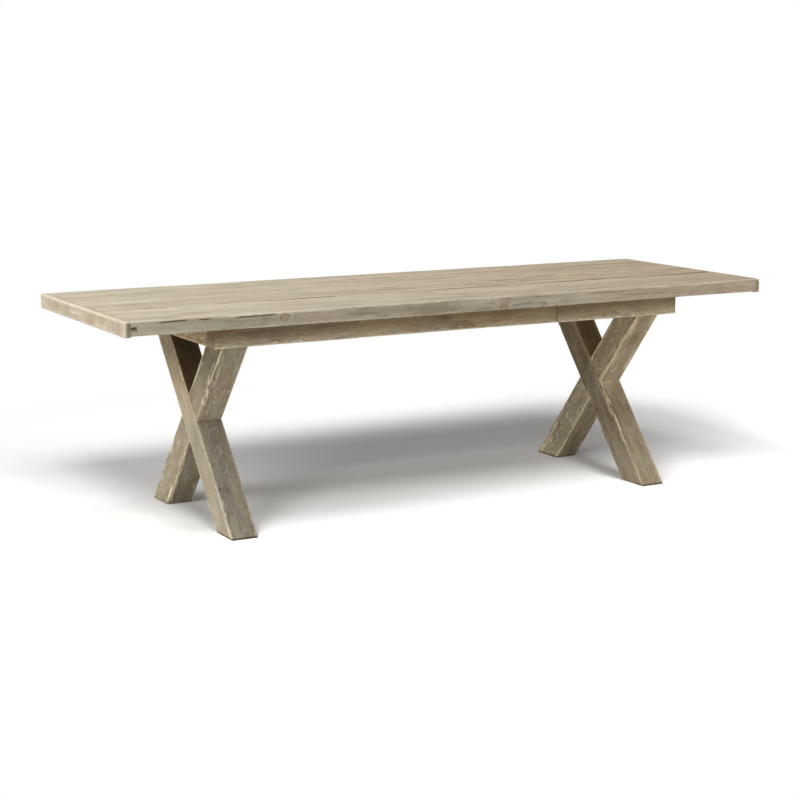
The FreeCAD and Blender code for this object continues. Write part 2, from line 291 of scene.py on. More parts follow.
    def side_gaps(self, points):
        """Distance of each point from each of the six sides, in the order of SIDE_NAMES."""
        place = self.local(points)
        half = (self.high - self.low) / 2
        if self.lean is not None:
            half[2] = LEG_WIDTH / 2
            place[:, 0] = points[:, self.axes[0]] - (self.low[0] + self.high[0]) / 2
        gaps = [half[axis] - way * place[:, axis] for axis in range(3) for way in (1, -1)]
        return np.abs(np.stack(gaps, axis=1))


BLOCK_FACES = [[0, 3, 2, 1], [4, 5, 6, 7], [0, 1, 5, 4], [1, 2, 6, 5], [2, 3, 7, 6], [3, 0, 4, 7]]


def prism(name, low, high, middle_at=None):
    """Cutter between two heights: a level rectangle whose middle may move along Y with height."""
    points = []
    for z in (low[2], high[2]):
        move = 0.0 if middle_at is None else middle_at(z)
        for x, y in ((low[0], low[1]), (high[0], low[1]), (high[0], high[1]), (low[0], high[1])):
            points.append((x, y + move, z))
    return new_piece(name, points, BLOCK_FACES)


def close_slivers(mesh):
    """Joins points that lie so close together that the faces between them have no area."""
    work = bmesh.new()
    work.from_mesh(mesh)
    bmesh.ops.dissolve_degenerate(work, dist=SLIVER_WIDTH, edges=work.edges)
    work.to_mesh(mesh)
    work.free()


def cut(piece, cutters):
    """Takes the cutters' space out of the piece, and removes the cutters."""
    for cutter in cutters:
        change = piece.modifiers.new("cut", "BOOLEAN")
        change.operation = "DIFFERENCE"
        change.solver = "EXACT"
        change.object = cutter
    bpy.context.view_layer.update()
    shaped = piece.evaluated_get(bpy.context.evaluated_depsgraph_get())
    old = piece.data
    piece.data = bpy.data.meshes.new_from_object(shaped)
    piece.modifiers.clear()
    bpy.data.meshes.remove(old)
    piece.data.name = piece.name
    close_slivers(piece.data)
    for cutter in cutters:
        spent = cutter.data
        bpy.data.objects.remove(cutter)
        bpy.data.meshes.remove(spent)


@dataclass
class Finish:
    """How one piece has aged.

    light and warm are its tone, and wear is how wide bare flakes reach at its arrises. On the bearers and
    rails a light above 1 is painted light, which lifts them in the shade of the top. drift is how its light,
    warmth, streaks and seam dirt change per metre of X; on the top its warmth drift is painted warm light
    towards the right. upper is the painted shade of its upper half, below the top: its light and added
    warmth there. sides gives stops along single sides: place, light and added warmth. On the bearers and
    legs these stops are painted light and shade: they lift faces that the lamps leave in shade, and darken
    and brown the front legs' v- faces below the top. weather scales lime, stain and greying. figure scales
    streaks along the grain, bands across it and splinters. splinters are the stretches of a leg, each with
    its side of X, where it has splintered. lines are the stretches of X where painted shadow lines run below
    the upper arrises of its long sides. seams scales the dirt beside covered sides, which along a leg's foot
    is painted contact shade. knotty is 0 where only the listed knots show. ringed is how clear its rings are,
    which ring_stops scale along single sides. worn_ends and dirty_ends say whether the arrises of its ends
    are worn and hold dirt.
    """

    light: float
    warm: float
    wear: float
    drift: tuple = (0.0, 0.0, 0.0, 0.0)
    upper: tuple = (1.0, 0.0)
    sides: dict = field(default_factory=dict)
    weather: tuple = (1.0, 1.0, 1.0)
    figure: tuple = (1.0, 0.0, 0.0)
    splinters: tuple = ()
    lines: tuple = ()
    seams: dict = field(default_factory=dict)
    knotty: float = 0.0
    ringed: float = 0.4
    ring_stops: dict = field(default_factory=dict)
    worn_ends: bool = True
    dirty_ends: bool = True

    def tones(self, points, place, nearest):
        """Light, warm and wear at each point; light and warm carry painted light and shade."""
        light = self.light * (1 + self.drift[0] * points[:, 0])
        warm = self.warm + self.drift[1] * points[:, 0]
        for side, stops in self.sides.items():
            on_side = nearest == SIDE_NAMES.index(side)
            places, lights, warmths = np.array(stops, float).T
            light[on_side] *= np.interp(place[on_side, 0], places, lights)
            warm[on_side] += np.interp(place[on_side, 0], places, warmths)
        # Painted shade in the upper half, below the top: darker and browner there
        light *= 1 + (self.upper[0] - 1) * np.interp(place[:, 2], UPPER_SHADE_PLACES, UPPER_SHADE_LIGHTS)
        warm += self.upper[1] * np.interp(place[:, 2], UPPER_SHADE_PLACES, UPPER_SHADE_WARMTHS)
        return np.stack([light, np.clip(warm, 0, 1), np.full(len(points), self.wear)], axis=1)

    def marks(self, points, place, nearest):
        """Where painted shadow lines lie below upper arrises, where knots show and how clear rings are."""
        lined = np.zeros(len(points))
        long_sides = (SIDE_NAMES.index("u+"), SIDE_NAMES.index("u-"))
        on_side = np.isin(nearest, long_sides) & (place[:, 2] > 0)
        for start, end in self.lines:
            inside = np.minimum(points[:, 0] - start, end - points[:, 0])
            lined = np.maximum(lined, on_side * np.clip(inside / LINE_FADE, 0, 1))
        ringed = np.full(len(points), self.ringed)
        for side, stops in self.ring_stops.items():
            on_side = nearest == SIDE_NAMES.index(side)
            ringed[on_side] *= np.interp(place[on_side, 0], *np.array(stops, float).T)
        return np.stack([lined, np.full(len(points), self.knotty), ringed], axis=1)

    def figures(self, points, place):
        """How much of the streaks, bands and splinters shows at each point."""
        figures = np.tile(np.array(self.figure, float), (len(place), 1))
        figures[:, 0] *= 1 + self.drift[2] * points[:, 0]
        if self.splinters:
            split = np.zeros(len(place), bool)
            for low, high, way in self.splinters:
                split |= (place[:, 0] > low) & (place[:, 0] < high) & (place[:, 1] * way > 0)
            figures[~split, 2] *= SPLINTER_REST
        return figures


def mark_surface(piece, timber, pith, offset, finish):
    """Stores where each point lies in the tree, how far the arrises are, and how the piece has aged."""
    mesh = piece.data
    points = np.zeros((len(mesh.vertices), 3))
    mesh.vertices.foreach_get("co", points.ravel())
    place = timber.local(points)
    gaps = timber.side_gaps(points)
    worn = np.full(len(points), FAR_AWAY)
    seam = np.full(len(points), FAR_AWAY)
    dirt_share = 1 + finish.drift[3] * points[:, 0]
    for one, other in combinations(range(len(SIDE_NAMES)), 2):
        if one // 2 == other // 2:
            # Opposite sides share no arris
            continue
        covered = [SIDE_NAMES[side] for side in (one, other) if SIDE_NAMES[side] in timber.hidden]
        reach = np.maximum(gaps[:, one], gaps[:, other])
        at_end = SIDE_NAMES[one] in BOTH_ENDS
        if not covered and (finish.worn_ends or not at_end):
            worn = np.minimum(worn, reach)
        if len(covered) == 1 and (finish.dirty_ends or not at_end):
            seam = np.minimum(seam, reach / finish.seams.get(covered[0], 1.0) / dirt_share)
    end = np.minimum(gaps[:, 0], gaps[:, 1])
    nearest = np.argmin(gaps, axis=1)
    vectors = {
        "grain": place - np.array([-offset, *pith]),
        "trunk": timber.trunk_shift(place),
        "edge": np.stack([worn, seam, end], axis=1),
        "tone": finish.tones(points, place, nearest),
        "marks": finish.marks(points, place, nearest),
        "figure": finish.figures(points, place),
        "weather": np.tile(np.array(finish.weather, float), (len(points), 1)),
    }
    for name, values in vectors.items():
        layer = mesh.attributes.new(name, "FLOAT_VECTOR", "POINT")
        layer.data.foreach_set("vector", np.ascontiguousarray(values, np.float32).ravel())


def shade(piece, material):
    """Gives the piece its material and smooth rounding."""
    mesh = piece.data
    mesh.materials.clear()
    mesh.materials.append(material)
    mesh.polygons.foreach_set("material_index", [0] * len(mesh.polygons))
    mesh.shade_smooth()
    mesh.set_sharp_from_angle(angle=SMOOTH_ANGLE)


# Materials
WHITE = (1.0, 1.0, 1.0, 1.0)


def tint(red, green, blue):
    """A colour written as 0 to 255, in the linear form that the nodes take."""
    colour = Color((red / 255, green / 255, blue / 255)).from_srgb_to_scene_linear()
    return (*colour, 1.0)


class Nodes:
    """Builds the nodes of one tree."""

    def __init__(self, tree):
        self.tree = tree

    def feed(self, socket, value):
        """Links an output to a socket, or sets the socket's own value."""
        if isinstance(value, bpy.types.NodeSocket):
            self.tree.links.new(value, socket)
        else:
            socket.default_value = value

    def node(self, kind, inputs=None, **settings):
        """A new node with its settings and inputs."""
        made = self.tree.nodes.new(kind)
        for key, value in settings.items():
            setattr(made, key, value)
        for key, value in (inputs or {}).items():
            self.feed(made.inputs[key], value)
        return made

    def attribute(self, name):
        return self.node("ShaderNodeAttribute", attribute_name=name).outputs["Vector"]

    def split(self, vector):
        return self.node("ShaderNodeSeparateXYZ", {0: vector}).outputs

    def join(self, x, y, z):
        return self.node("ShaderNodeCombineXYZ", {0: x, 1: y, 2: z}).outputs[0]

    def math(self, operation, first, second=0.0):
        return self.node("ShaderNodeMath", {0: first, 1: second}, operation=operation).outputs[0]

    def add(self, *values):
        return reduce(lambda total, value: self.math("ADD", total, value), values)

    def times(self, *values):
        return reduce(lambda product, value: self.math("MULTIPLY", product, value), values)

    def vector(self, operation, first, second):
        return self.node("ShaderNodeVectorMath", {0: first, 1: second}, operation=operation).outputs["Vector"]

    def length(self, x, y):
        place = self.join(x, y, 0.0)
        return self.node("ShaderNodeVectorMath", {0: place}, operation="LENGTH").outputs["Value"]

    def noise(self, vector, stretch, detail, rough):
        """Noise from 0 to 1 over the vector, which is first stretched on each axis."""
        place = self.vector("MULTIPLY", vector, stretch)
        inputs = {"Vector": place, "Scale": 1.0, "Detail": detail, "Roughness": rough}
        return self.node("ShaderNodeTexNoise", inputs).outputs["Fac"]

    def rise(self, value, low, high):
        """0 below low and 1 above high, smooth between."""
        inputs = {"Value": value, "From Min": low, "From Max": high}
        return self.node("ShaderNodeMapRange", inputs, interpolation_type="SMOOTHSTEP").outputs["Result"]

    def fall(self, value, low, high):
        """1 below low and 0 above high, smooth between."""
        return self.math("SUBTRACT", 1.0, self.rise(value, low, high))

    def span(self, value, low, high):
        """low where the value is 0 and high where it is 1."""
        return self.add(low, self.times(value, high - low))

    def mix(self, factor, first, second, blend="MIX"):
        inputs = {0: factor, 6: first, 7: second}
        return self.node("ShaderNodeMix", inputs, data_type="RGBA", blend_type=blend).outputs[2]

    def either(self, factor, first, second):
        """The first shader where the factor is 0, and the second where it is 1."""
        return self.node("ShaderNodeMixShader", {0: factor, 1: first, 2: second}).outputs[0]

    def bump(self, height, strength, distance):
        inputs = {"Height": height, "Strength": strength, "Distance": distance}
        return self.node("ShaderNodeBump", inputs).outputs["Normal"]

    def seen_rays(self):
        """1 for rays on which the background shows: straight to the camera, mirrored or through glass."""
        path = self.node("ShaderNodeLightPath").outputs
        seen = path["Is Camera Ray"]
        for name in ("Is Glossy Ray", "Is Transmission Ray"):
            seen = self.math("MAXIMUM", seen, path[name])
        return seen


class Sheet(Nodes):
    """Builds the nodes of one material."""

    def __init__(self, name):
        self.material = bpy.data.materials.new(name)
        self.material.use_nodes = True
        super().__init__(self.material.node_tree)
        self.shader = self.tree.nodes["Principled BSDF"]

    def surface(self, colour, roughness, normal):
        """Feeds the main shader, and gives the finished material."""
        self.feed(self.shader.inputs["Base Color"], colour)
        self.feed(self.shader.inputs["Roughness"], roughness)
        self.feed(self.shader.inputs["Normal"], normal)
        return self.material


# Noises of the wood: repeats per metre along and across the grain, detail and roughness
WOOD_NOISES = {
    "drift": (1.5, 5, 2, 0.5),
    "tremble": (10, 30, 1, 0.5),
    "broad": (2.4, 24, 2, 0.55),
    "streak": (4, 95, 2, 0.6),
    "dash": (6.5, 120, 1, 0.5),
    "thread": (13, 330, 2, 0.6),
    "fibre": (45, 1500, 2, 0.7),
    "blotch": (14, 34, 3, 0.6),
    "patch": (3, 12, 2, 0.5),
    "cloud": (4.5, 17, 3, 0.5),
    "stain": (5, 15, 3, 0.6),
    "mottle": (38, 75, 3, 0.6),
    "band": (13, 5, 2, 0.5),
    "lime": (24, 210, 3, 0.65),
    "scratch": (50, 280, 2, 0.5),
    "splinter": (9, 110, 3, 0.6),
    "ragged": (20, 80, 3, 0.65),
    "grit": (70, 120, 2, 0.6),
    "stretch": (3.6, 3.6, 1, 0.5),
    "broken": (9, 9, 2, 0.5),
    "wander": (6, 1, 3, 0.65),
    "gap": (5, 1, 2, 0.5),
    "tool": (120, 30, 2, 0.6),
}
NOISE_STEP = 0.37

# Ranges over which a value starts to show, or to fade, and has done so in full
WOOD_RANGES = {
    # Noises
    "broad": (0.36, 0.64), "patch": (0.46, 0.62), "cloud": (0.48, 0.62), "stain": (0.54, 0.68),
    "band": (0.46, 0.62), "dash": (0.58, 0.72), "thread": (0.54, 0.74), "fibre": (0.50, 0.80),
    "mottle": (0.50, 0.75), "blotch": (0.40, 0.56), "lime": (0.54, 0.66), "scratch": (0.60, 0.70),
    "stretch": (0.46, 0.58), "ragged": (0.34, 0.66), "broken": (0.36, 0.56), "grit": (0.36, 0.58),
    "gap": (0.42, 0.60), "year": (0.36, 0.62), "texture": (0.45, 0.65), "warm_texture": (0.38, 0.58),
    "limed_cloud": (0.44, 0.60), "seam_highlight_patch": (0.45, 0.60), "splinter_bare": (0.55, 0.59),
    # Shares of a knot's or a flake's size, of a ring's width and of an arris's worn line
    "knot_core": (0.6, 1.0), "knot_swirl": (0.3, 4.5), "flake_bare": (0.75, 1.1), "ring_end": (0.86, 0.99),
    "arris_line": (0.35, 1.35),
    # Metres from an arris, a seam or an end, and the size of flakes that have a rim
    "limed_arris": (0.002, 0.030), "end_grain": (0.0008, 0.0022), "splintered": (0.008, 0.030),
    "lifted": (0.0, 0.020), "painted_shadow_line": (0.0015, 0.0034), "seam_dirt": (0.0012, 0.0050),
    "rimmed_flake": (0.002, 0.004),
}
# Ridges: the ranges over which a value starts to show and then fades again
WOOD_RIDGES = {"knot_rim": (0.55, 0.85, 0.95, 1.35), "flake_rim": (0.9, 1.05, 1.15, 1.5),
               "splinter_rim": (0.47, 0.52, 0.53, 0.56), "seam_highlight": (0.004, 0.007, 0.012, 0.026)}
# How much of its colour a layer of the wood lays on. The looks name more of them.
WOOD_SHARES = {"texture": 0.55, "patch": 0.85, "core": 0.45, "rim": 0.70, "flake": 0.90, "flake_rim": 0.65,
               "splinter": 0.90, "splinter_rim": 0.70}
LIME_MOST = 0.80
FLAKE_LEAST = 0.0001
SPLINTER_LIFT = 0.07

# How far waves of the grain and knots bend the rings, and how the rings differ from year to year
DRIFT_BEND = 0.05
TREMBLE_BEND = 0.006
KNOT_BEND = 0.014
RING_FULL = 0.82
YEAR_NOISE = ((1.3, 0.45, 1.0), 1.0, 0.5)

# Size and scatter of the knots that aren't listed, how uneven all knots are, and how they stretch
# along the grain
KNOT_SIZE = 0.009
KNOT_SPREAD = 0.6
KNOT_UNEVEN = 0.7
KNOT_STRETCH = 1.25

# How far features stand out, the depth of the relief, and how much the wood shines
WOOD_HEIGHTS = {"late": 0.5, "thread": -0.6, "fibre": 0.4, "core": 0.5, "bare": -0.8}
RELIEF_DEPTH = 0.0008
WOOD_SHINE = 0.25


class Wood(Sheet):
    """Weathered pine. What each point of a timber knows about itself comes from the mesh."""

    def __init__(self, name, look):
        super().__init__(name)
        self.look = look
        self.shares = {**WOOD_SHARES, **look["shares"]}
        self.grain = self.attribute("grain")
        trunk = self.vector("ADD", self.grain, self.attribute("trunk"))
        self.along, self.across, self.depth = self.split(trunk)
        self.worn, self.seam, self.end = self.split(self.attribute("edge"))
        self.light, self.warm, self.wear = self.split(self.attribute("tone"))
        self.lined, self.knotty, self.ringed = self.split(self.attribute("marks"))
        self.lime, self.stain, self.greying = self.split(self.attribute("weather"))
        self.fibrous, self.banded, self.splintered = self.split(self.attribute("figure"))
        self.flow = self.grain
        self.core, self.rim, swirl = self.knots()
        drift = self.times(self.swing("drift"), DRIFT_BEND)
        tremble = self.times(self.swing("tremble"), TREMBLE_BEND)
        self.bend = self.add(drift, tremble, self.times(swirl, KNOT_BEND))
        self.flow = self.vector("ADD", self.grain, self.join(0.0, self.bend, self.bend))
        self.late = self.rings()
        self.colour = self.mix(self.level("broad"), self.tinted("pale"), self.tinted("middle"))

    def spread(self, name):
        """One of the wood's noises, each from its own place."""
        along, across, detail, rough = self.look["noises"].get(name, WOOD_NOISES[name])
        move = NOISE_STEP * list(WOOD_NOISES).index(name)
        place = self.vector("ADD", self.flow, (move, move, move))
        return self.noise(place, (along, across, across), detail, rough)

    def swing(self, name):
        """One of the wood's noises, from -0.5 to 0.5."""
        return self.math("SUBTRACT", self.spread(name), 0.5)

    def up(self, value, name):
        """How far the value has come up through one of the ranges."""
        return self.rise(value, *WOOD_RANGES[name])

    def down(self, value, name):
        """What is left as the value goes up through one of the ranges."""
        return self.fall(value, *WOOD_RANGES[name])

    def ridge(self, value, name):
        """1 where the value lies on top of one of the ridges, and 0 on both sides of it."""
        start, top, fade, end = WOOD_RIDGES[name]
        return self.times(self.rise(value, start, top), self.fall(value, fade, end))

    def level(self, name):
        """How much one of the noises shows in the range of its own name."""
        return self.up(self.spread(name), name)

    def tinted(self, name):
        """One of the look's colours."""
        return tint(*self.look["colours"][name])

    def paint(self, colour, layer, *values):
        """Lays a colour over what is there, by the values and the layer's share, which is 1 if not named."""
        share = self.times(*values, self.shares.get(layer, 1.0))
        self.colour = self.mix(share, self.colour, self.tinted(colour))

    def knots(self):
        """Cores and rims of the knots, and how much they bend the rings. Knots run out from the pith."""
        radius = self.length(self.across, self.depth)
        angle = self.math("ARCTAN2", self.depth, self.across)
        cells_along, cells_round, missing = self.look["knot_cells"]
        cell = self.join(self.times(self.along, cells_along), self.times(angle, cells_round), 0.0)
        spots = self.node("ShaderNodeTexVoronoi", {"Vector": cell, "Scale": 1.0, "Randomness": KNOT_SPREAD},
                          voronoi_dimensions="2D").outputs
        spot = self.split(spots["Position"])
        chance = self.split(spots["Color"])[0]
        shown = self.times(self.math("GREATER_THAN", chance, missing), self.knotty)
        along = self.math("DIVIDE", spot[0], cells_along)
        turn = self.math("DIVIDE", spot[1], cells_round)
        scattered = (along, turn, KNOT_SIZE, shown, shown)
        uneven = self.times(self.swing("grit"), KNOT_UNEVEN)
        kept = self.span(self.level("blotch"), low=0.35, high=1.0)
        core, rim, swirl = 0.0, 0.0, 0.0
        for place, turned, size, strength, bending in [scattered] + self.look["knots"]:
            # Beside the knot, the way to it is a chord round the pith
            half_turn = self.times(self.math("SUBTRACT", angle, turned), 0.5)
            beside = self.times(self.math("SINE", half_turn), radius, 2.0)
            ahead = self.times(self.math("SUBTRACT", self.along, place), 1 / KNOT_STRETCH)
            gap = self.math("DIVIDE", self.length(ahead, beside), size)
            edge = self.add(gap, uneven)
            core = self.math("MAXIMUM", core, self.times(self.down(edge, "knot_core"), strength))
            rim = self.math("MAXIMUM", rim, self.times(self.ridge(edge, "knot_rim"), kept, strength))
            swirl = self.math("MAXIMUM", swirl, self.times(self.down(gap, "knot_swirl"), bending))
        return core, rim, swirl

    def rings(self):
        """1 on the late wood of the growth rings, which is clearer in some years than in others."""
        cone = self.times(self.along, self.look["taper"])
        radius = self.add(self.length(self.across, self.depth), self.bend, cone)
        count = self.math("DIVIDE", radius, self.look["ring"])
        part = self.math("FRACT", count)
        late = self.times(self.rise(part, self.look["late_start"], RING_FULL), self.down(part, "ring_end"))
        clear = self.noise(self.join(self.along, count, 0.0), *YEAR_NOISE)
        return self.times(late, self.up(clear, "year"))

    def ground(self):
        """The wood itself: streaks or blotches, patches, greying, stains, bands, rings and knots."""
        streak = self.spread("streak")
        blotch = self.spread("blotch")
        texture = self.add(blotch, self.times(self.fibrous, self.math("SUBTRACT", streak, blotch)))
        self.paint("middle", "texture", self.up(texture, "texture"))
        self.paint("warm", "patch", self.level("patch"), self.up(texture, "warm_texture"))
        self.paint("grey", "cloud", self.level("cloud"), self.greying)
        self.paint("stain", "stain", self.level("stain"), self.stain)
        self.paint("stain", "band", self.level("band"), self.banded)
        self.paint("late", "late", self.late, self.ringed)
        for name in ("dash", "thread", "fibre"):
            self.paint("dark", name, self.level(name), self.fibrous)
        self.paint("dark", "mottle", self.level("mottle"))
        self.paint("knot", "core", self.core)
        self.paint("rim", "rim", self.rim)

    def liming(self):
        """Lime left in hollows and scratches, more of it near the arrises, and darker end grain."""
        near = self.down(self.worn, "limed_arris")
        cloud = self.up(self.spread("cloud"), "limed_cloud")
        limed = self.times(self.level("lime"), self.add(cloud, near), self.lime, self.shares["lime"])
        self.paint("worn", "limed", self.math("MINIMUM", limed, LIME_MOST))
        self.paint("worn", "scratch", self.level("scratch"), cloud, self.lime)
        self.paint("end", "end", self.down(self.end, "end_grain"))

    def arrises(self):
        """Worn arrises: a soft broken line, and bare flakes with dark rims. 1 where bare."""
        ragged = self.spread("ragged")
        flake = self.times(self.level("stretch"), self.up(ragged, "ragged"), self.wear)
        flake = self.add(flake, FLAKE_LEAST)
        place = self.math("DIVIDE", self.worn, flake)
        self.paint("dark", "flake_rim", self.ridge(place, "flake_rim"), self.up(flake, "rimmed_flake"))
        width = self.times(self.span(ragged, low=0.3, high=1.7), self.look["arris"])
        line = self.down(self.math("DIVIDE", self.worn, width), "arris_line")
        kept = self.span(self.level("broken"), low=0.3, high=0.85)
        rough = self.span(self.level("grit"), low=0.5, high=1.0)
        flaked = self.times(self.down(place, "flake_bare"), self.shares["flake"])
        bare = self.math("MAXIMUM", flaked, self.times(line, kept, rough, self.shares["arris"]))
        self.paint("worn", "bare", bare)
        return bare

    def splinters(self):
        """Splinters with dark rims along the arrises. 1 where the wood is bare."""
        near = self.times(self.down(self.worn, "splintered"), self.splintered)
        lift = self.times(self.down(self.worn, "lifted"), SPLINTER_LIFT)
        level = self.add(self.spread("splinter"), lift)
        self.paint("dark", "splinter_rim", self.ridge(level, "splinter_rim"), near)
        bare = self.times(self.up(level, "splinter_bare"), near)
        self.paint("split", "splinter", bare)
        return bare

    def dirt(self):
        """Painted shadow below upper arrises, dirt in the seams, and painted highlight beside the seams."""
        middle = self.span(self.spread("wander"), low=0.004, high=0.012)
        beside = self.math("ABSOLUTE", self.math("SUBTRACT", self.worn, middle))
        # Painted shadow, in the dirt colour, just below the upper arrises
        self.paint("dirt", "line", self.down(beside, "painted_shadow_line"), self.lined)
        kept = self.span(self.level("gap"), low=0.2, high=0.9)
        # Dirt in the seams; along the legs' feet it is painted contact shade
        self.paint("dirt", "seam", self.down(self.seam, "seam_dirt"), kept)
        # A band of painted highlight beside the seams, in the worn colour
        patch = self.up(self.spread("patch"), "seam_highlight_patch")
        self.paint("worn", "seam_highlight", self.ridge(self.seam, "seam_highlight"), patch)

    def build(self):
        """The finished material."""
        self.ground()
        self.liming()
        bare = self.math("MAXIMUM", self.arrises(), self.splinters())
        self.dirt()
        # The tone's light and warmth scale the colour; they also carry painted light and shade
        toned = self.mix(1.0, self.colour, self.join(self.light, self.light, self.light), "MULTIPLY")
        toned = self.mix(self.warm, toned, self.tinted("blush"), "MULTIPLY")
        features = {"late": self.late, "thread": self.spread("thread"), "fibre": self.spread("fibre"),
                    "core": self.core, "bare": bare}
        height = self.times(self.spread("tool"), self.look["saw_marks"])
        for name, feature in features.items():
            height = self.add(height, self.times(feature, WOOD_HEIGHTS[name]))
        self.shader.inputs["Specular IOR Level"].default_value = WOOD_SHINE
        roughness = self.span(self.spread("streak"), low=0.66, high=0.91)
        return self.surface(toned, roughness, self.bump(height, self.look["relief"], RELIEF_DEPTH))


# Hardware: share of the dark fibres, crystals per metre, share of the dull patches, and how metallic
DOWEL_DARK = 0.4
STEEL_CRYSTALS = 240
STEEL_DULL = 0.5
STEEL_METALLIC = 0.9


def dowel_wood():
    """Plain pale dowel wood with fine fibres."""
    s = Sheet("dowel_beech")
    place = s.node("ShaderNodeTexCoord").outputs["Object"]
    cloud = s.noise(place, stretch=(60, 60, 60), detail=3, rough=0.5)
    fibre = s.noise(place, stretch=(700, 700, 90), detail=2, rough=0.7)
    dark = s.times(s.rise(fibre, low=0.5, high=0.75), DOWEL_DARK)
    colour = s.mix(cloud, tint(198, 172, 130), tint(170, 142, 102))
    colour = s.mix(dark, colour, tint(120, 94, 62))
    normal = s.bump(fibre, strength=0.3, distance=0.0004)
    return s.surface(colour, s.span(cloud, low=0.55, high=0.75), normal)


def zinc_steel():
    """Dull galvanised steel with crystal patches and scuffs."""
    s = Sheet("zinc_steel_worn")
    place = s.node("ShaderNodeTexCoord").outputs["Object"]
    crystal = s.node("ShaderNodeTexVoronoi", {"Vector": place, "Scale": STEEL_CRYSTALS})
    shine = s.split(crystal.outputs["Color"])[0]
    cloud = s.noise(place, stretch=(55, 55, 55), detail=3, rough=0.5)
    scuff = s.noise(place, stretch=(900, 900, 160), detail=3, rough=0.65)
    dull = s.times(s.rise(cloud, low=0.48, high=0.7), STEEL_DULL)
    colour = s.mix(shine, tint(150, 152, 152), tint(186, 188, 188))
    colour = s.mix(dull, colour, tint(112, 106, 96))
    s.shader.inputs["Metallic"].default_value = STEEL_METALLIC
    normal = s.bump(scuff, strength=0.25, distance=0.0003)
    return s.surface(colour, s.span(cloud, low=0.34, high=0.69), normal)


# Timber pieces. Along offsets keep them apart in the solid grain, so each has its own figure.
OFFSET_STEP = 7.3
TONGUE_OFFSET = 40 * OFFSET_STEP
TONE_SEED = 11
PITH_SIDEWAYS = 0.03
tone_rng = np.random.default_rng(TONE_SEED)
made_pieces = []
top_knots = []
base_knots = []


def next_offset():
    """The along offset of the timber that is added next."""
    return OFFSET_STEP * (len(made_pieces) + 1)


def straight(node, axis, kind, number, hidden, low=None, high=None):
    """Timber that fills a node's box, or the box given."""
    box_low, box_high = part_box(node)
    return Timber(node + "_wood", low or box_low, high or box_high, axis, kind, number, hidden)


def random_pith(lowest, highest):
    """A pith near the middle in u, and between the two places in v."""
    return (tone_rng.uniform(-PITH_SIDEWAYS, PITH_SIDEWAYS), tone_rng.uniform(lowest, highest))


def add_timber(timber, node, slot, pith, finish, cutters=()):
    """Builds the timber's piece, cuts its joints and puts it in the node's place."""
    piece = timber.piece()
    if cutters:
        cut(piece, cutters)
    mark_surface(piece, timber, pith, next_offset(), finish)
    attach(piece, "root")
    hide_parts(node)
    made_pieces.append((piece, slot))
    return piece


def knot_on(timber, pith, point, size, strength, bending):
    """A knot of the timber that is added next, where it shows at a point of its surface."""
    place = timber.local(np.array([point], float))
    place = (place + timber.trunk_shift(place))[0]
    turn = math.atan2(place[2] - pith[1], place[1] - pith[0])
    return (place[0] + next_offset(), turn, size, strength, bending)


# Top planks, grooved across both ends. The front one has no open groove at the right.
# Along X the top gets a little darker, and warmer in painted warm light, towards the right
TOP_DRIFT = (-0.045, 0.17, 0.40, 0.45)
PLANK_END_DIRT = 0.6
FRONT_EDGE = ((-0.9, 0.96, 0.0), (-0.1, 0.87, 0.06), (0.9, 1.20, 0.10))
# Stretches of X where painted shadow lines run below the front plank's upper arris
FRONT_SHADOW_LINES = ((-1.145, -1.045), (-1.012, -0.962), (-0.880, -0.735))
# Knots of the front edge: X, Z and size
FRONT_KNOTS = ((-0.709, 0.741, 0.012), (0.125, 0.722, 0.011), (0.292, 0.720, 0.004))
# Pith, light, warmth, and how much dirt the seams towards the front and the back hold
PLANKS = (
    ((0.050, -0.002), 0.94, 0.05, 0.5, 0.5),
    ((0.030, -0.07), 1.00, 0.12, 0.5, 2.8),
    ((-0.040, -0.09), 0.95, 0.26, 2.8, 1.5),
    ((0.020, 0.08), 0.99, 0.15, 1.5, 0.5),
    ((-0.020, -0.11), 0.96, 0.22, 0.5, 1.5),
    ((0.015, -0.08), 0.99, 0.12, 1.5, 0.5),
)
for number, (pith, light, warm, front_dirt, back_dirt) in enumerate(PLANKS, 1):
    node = f"top_plank_{number}"
    low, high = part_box(node)
    at_front = number == 1
    hidden = BOTH_ENDS.copy()
    if not at_front:
        hidden.append("u-")
    if number < len(PLANKS):
        hidden.append("u+")
    timber = straight(node, ALONG_X, "plank", number, hidden)
    dirt = {"u-": front_dirt, "u+": back_dirt, "end-": PLANK_END_DIRT, "end+": PLANK_END_DIRT}
    finish = Finish(light, warm, wear=0.004, drift=TOP_DRIFT, seams=dirt, knotty=0.6)
    if at_front:
        finish = Finish(light, warm, wear=0.007, drift=TOP_DRIFT, sides={"u-": FRONT_EDGE},
                        weather=(1.0, 1.2, 1.4), lines=FRONT_SHADOW_LINES, seams=dirt, dirty_ends=False)
        for x, z, size in FRONT_KNOTS:
            top_knots.append(knot_on(timber, pith, (x, low[1], z), size, strength=0.85, bending=0.4))
    cutters = []
    for end, way in ((low[0], 1), (high[0], -1)):
        xs = sorted((end - way * CUT_MARGIN, end + way * GROOVE_DEPTH))
        start = low[1] + RIGHT_GROOVE_STOP if at_front and way < 0 else low[1] - CUT_MARGIN
        cutters.append(prism(f"groove_{number}_{way}", (xs[0], start, GROOVE_LOW),
                             (xs[1], high[1] + CUT_MARGIN, GROOVE_HIGH)))
    add_timber(timber, node, "top_wood", pith, finish, cutters)

# End battens, each with its tongue
BATTEN_PITH = (0.01, -0.05)
BATTEN_ENDS = {"left": ((0.0, 0.88, 0.0),), "right": ((0.0, 1.30, 0.22),)}
